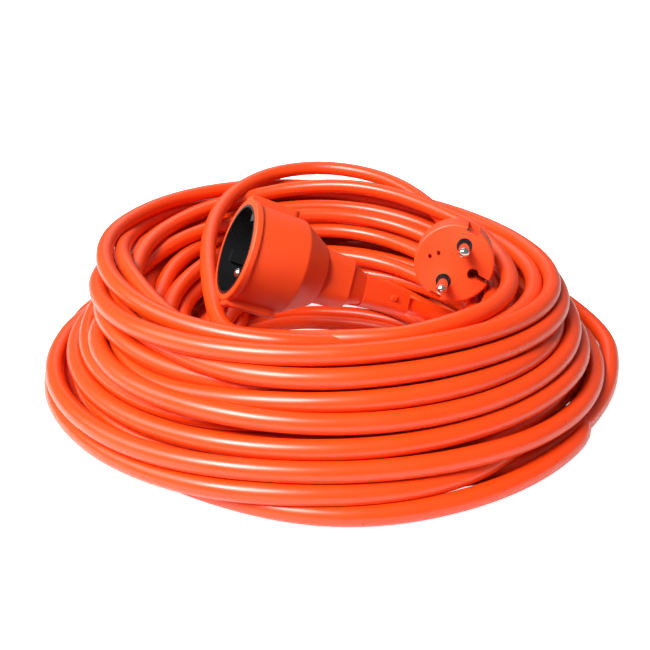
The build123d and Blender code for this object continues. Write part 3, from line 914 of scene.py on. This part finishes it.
@dataclass
class ExtensionCable:
    """The whole cable as one curve, from the coupler's relief to the plug.

    Attributes:
        winder: winds the coil.
        loose: the stretches clear of the coil.
        diameter: the cable's diameter.
        length: the length that the real cable is taken to have.
        wall_sides: the fineness of its round section.
        steps: the pieces between two route points.
    """

    winder: CoilWinder = field(default_factory=CoilWinder)
    loose: LooseCable = LOOSE
    diameter: float = CABLE_DIAMETER
    length: float = 25.0
    wall_sides: int = 5
    steps: int = 4

    def guards(self) -> list[Guard]:
        """Give the bodies that the turns stay clear of.

        Returns:
            The round parts of the plug, of the coupler and of the coupler's lead.
        """
        plug = (PLUG_FACE, PLUG_OUT, PLUG_ROUNDS)
        coupler = (COUPLER_MOUTH, COUPLER_OUT, COUPLER_ROUNDS)
        rounds = [
            Guard(face - out * start, face - out * end, radius)
            for face, out, parts in (plug, coupler)
            for start, end, radius in parts
        ]
        lead = self.loose.coupler_lead
        return rounds + [
            Guard(Vector(start), Vector(end), self.diameter / 2)
            for start, end in zip(lead[1:], lead[2:])
        ]

    def build(self, material: bpy.types.Material) -> bpy.types.Object:
        """Args:
            material: the cable's finish.

        Returns:
            The cable's object.
        """
        coil = self.winder.wind(self.loose, self.guards())
        route = [*self.loose.coupler_lead, *coil, *self.loose.plug_lead]
        data = bpy.data.curves.new("cable", "CURVE")
        data.dimensions = "3D"
        spline = data.splines.new("NURBS")
        spline.points.add(len(route) - 1)
        for point, spot in zip(spline.points, route):
            point.co = (*spot, 1.0)
        spline.order_u = 3
        spline.use_endpoint_u = True
        data.resolution_u = self.steps
        data.bevel_depth = self.diameter / 2
        data.bevel_resolution = self.wall_sides
        data.use_fill_caps = True
        cable = bpy.data.objects.new("cable", data)
        bpy.context.scene.collection.objects.link(cable)
        data.materials.append(material)
        run = sum((Vector(b) - Vector(a)).length for a, b in zip(route, route[1:]))
        log.info("cable: %d control points, %.2f m along its points", len(route), run)
        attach(cable, ROOT_BODY)
        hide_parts("cord_coil", "plug_lead", "socket_lead", "loose_loop")
        return cable


@dataclass
class ShutterSpring:
    """The shutter's spring, which is pressed together as the shutter slides.

    Attributes:
        post: how far its fixed end lies above the coupler's axis.
        depth: how far it lies behind the coupler's mouth.
        pressed: the share of its length left when the shutter is up.
    """

    post: float = 0.0155
    depth: float = 0.0223
    pressed: float = 0.457

    def build(self, node: bpy.types.Object, material: bpy.types.Material) -> bpy.types.Object:
        """Copy the spring's node into an object of its own, in place of the node.

        Args:
            node: the CAD node of the spring.
            material: the spring's finish.

        Returns:
            The copy.
        """
        mesh = node.data.copy()
        mesh.transform(node.matrix_world)
        mesh.materials.clear()
        mesh.materials.append(material)
        spring = bpy.data.objects.new("pressed_spring", mesh)
        bpy.context.scene.collection.objects.link(spring)
        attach(spring, ROOT_BODY)
        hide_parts("shutter_spring")
        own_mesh(spring)
        return spring


# ------------------------------------------------------------------ studio
@dataclass(frozen=True)
class SoftBox:
    """A square area light that looks at the coil.

    Attributes:
        name: its name.
        spot: where it stands.
        size: its side.
        power: its power in watts.
    """

    name: str
    spot: Point
    size: float
    power: float
    aim: Point = (0.0, 0.0, 0.02)

    def build(self) -> None:
        """Add the light."""
        light = bpy.data.lights.new(self.name, "AREA")
        light.shape = "SQUARE"
        light.size = self.size
        light.energy = self.power
        lamp = bpy.data.objects.new(self.name, light)
        lamp.location = self.spot
        aim = Vector(self.aim) - Vector(self.spot)
        lamp.rotation_euler = aim.to_track_quat("-Z", "Y").to_euler()
        bpy.context.scene.collection.objects.link(lamp)


@dataclass
class Studio:
    """The floor, the lights and the camera.

    Attributes:
        centre_x: the camera stands in front of this place.
        distance: from the coil's middle on the floor to the camera.
        dip: the camera's place above the floor, in degrees.
        tilt: how far the camera looks down, in degrees.
        lens: the camera's focal length in millimetres.
        sensor: the camera's sensor width in millimetres.
        nearest: the nearest thing that the camera sees.
        floor_size: the floor's side.
        floor_grey: the floor's colour.
        floor_roughness: the floor's roughness.
        floor_specular: the strength of the floor's highlights.
        floor_glow: the floor's own light, for the camera only.
        fill: the surroundings' light, for everything but the camera.
        boxes: the soft boxes.
    """

    centre_x: float = -0.0060
    distance: float = 0.3916
    dip: float = 27.0
    tilt: float = 24.72
    lens: float = 41.7
    sensor: float = 36.0
    nearest: float = 0.01
    floor_size: float = 12.0
    floor_grey: float = 0.9
    floor_roughness: float = 0.9
    floor_specular: float = 0.1
    floor_glow: float = 0.88
    fill: float = 0.20
    boxes: tuple[SoftBox, ...] = (
        SoftBox("box_top", (-0.44, -0.50, 0.82), 0.42, 20.5),
        SoftBox("box_left", (-0.9, -0.1, 0.7), 0.6, 4.5),
        SoftBox("box_back", (-0.1, 0.9, 0.9), 0.8, 2.2),
    )

    def build(self) -> None:
        """Set the studio up."""
        bpy.context.scene.view_settings.view_transform = "Standard"
        self.floor()
        self.surroundings()
        for box in self.boxes:
            box.build()
        self.camera()

    def floor(self) -> None:
        """Add a large pale floor."""
        bpy.ops.object.select_all(action="DESELECT")
        bpy.ops.mesh.primitive_plane_add(size=self.floor_size, location=(0, 0, 0))
        floor = bpy.context.object
        floor.name = "studio_floor"
        material = bpy.data.materials.new("studio_floor")
        material.use_nodes = True
        nodes, links = material.node_tree.nodes, material.node_tree.links
        shader = nodes["Principled BSDF"]
        shader.inputs[Socket.COLOR.value].default_value = (*[self.floor_grey] * 3, 1)
        shader.inputs[Socket.ROUGHNESS.value].default_value = self.floor_roughness
        shader.inputs[Socket.SPECULAR.value].default_value = self.floor_specular
        shader.inputs[Socket.GLOW_COLOR.value].default_value = (1, 1, 1, 1)
        path = nodes.new("ShaderNodeLightPath")
        glow = nodes.new("ShaderNodeMath")
        glow.operation = "MULTIPLY"
        glow.inputs[1].default_value = self.floor_glow
        links.new(path.outputs["Is Camera Ray"], glow.inputs[0])
        links.new(glow.outputs["Value"], shader.inputs[Socket.GLOW.value])
        floor.data.materials.append(material)

    def surroundings(self) -> None:
        """Add the surroundings, which are white to the camera and dim to everything else."""
        world = bpy.data.worlds.new("studio")
        world.use_nodes = True
        nodes, links = world.node_tree.nodes, world.node_tree.links
        path = nodes.new("ShaderNodeLightPath")
        level = nodes.new("ShaderNodeMapRange")
        level.inputs["To Min"].default_value = self.fill
        level.inputs["To Max"].default_value = 1.0
        links.new(path.outputs["Is Camera Ray"], level.inputs["Value"])
        links.new(level.outputs["Result"], nodes["Background"].inputs["Strength"])
        nodes["Background"].inputs["Color"].default_value = (1, 1, 1, 1)
        bpy.context.scene.world = world

    def camera(self) -> None:
        """Add the camera in front of the coil, looking down."""
        data = bpy.data.cameras.new("camera")
        data.lens = self.lens
        data.sensor_width = self.sensor
        data.clip_start = self.nearest
        camera = bpy.data.objects.new("camera", data)
        dip = math.radians(self.dip)
        away, up = self.distance * math.cos(dip), self.distance * math.sin(dip)
        camera.location = (self.centre_x, -away, up)
        camera.rotation_euler = (math.radians(90.0 - self.tilt), 0.0, 0.0)
        bpy.context.scene.collection.objects.link(camera)
        bpy.context.scene.camera = camera


# ------------------------------------------------------------------ the whole
def dress_nodes(nodes: dict[str, bpy.types.Object],
                skin: bpy.types.NodeTree) -> dict[str, bpy.types.Material]:
    """Give every shown CAD node its finish.

    Args:
        nodes: the CAD nodes by name.
        skin: the shared moulded-skin group.

    Returns:
        The materials by finish name.
    """
    made: dict[str, bpy.types.Material] = {}
    for name, finish in NODE_FINISH.items():
        if finish.name not in made:
            made[finish.name] = finish.build(skin)
        node = nodes[name]
        for slot in node.material_slots:
            slot.material = made[finish.name]
        log.info("node %s: %s", name, finish.name)
    return made


def main() -> None:
    """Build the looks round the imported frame."""
    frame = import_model()
    bpy.ops.object.select_all(action="DESELECT")
    skin = surface_texture_group()
    finishes = dress_nodes(frame["nodes"], skin)
    ShutterSpring().build(frame["nodes"]["shutter_spring"], finishes[STEEL.name])
    ExtensionCable().build(CABLE.build(skin))
    Studio().build()


if __name__ == "__main__":
    main()
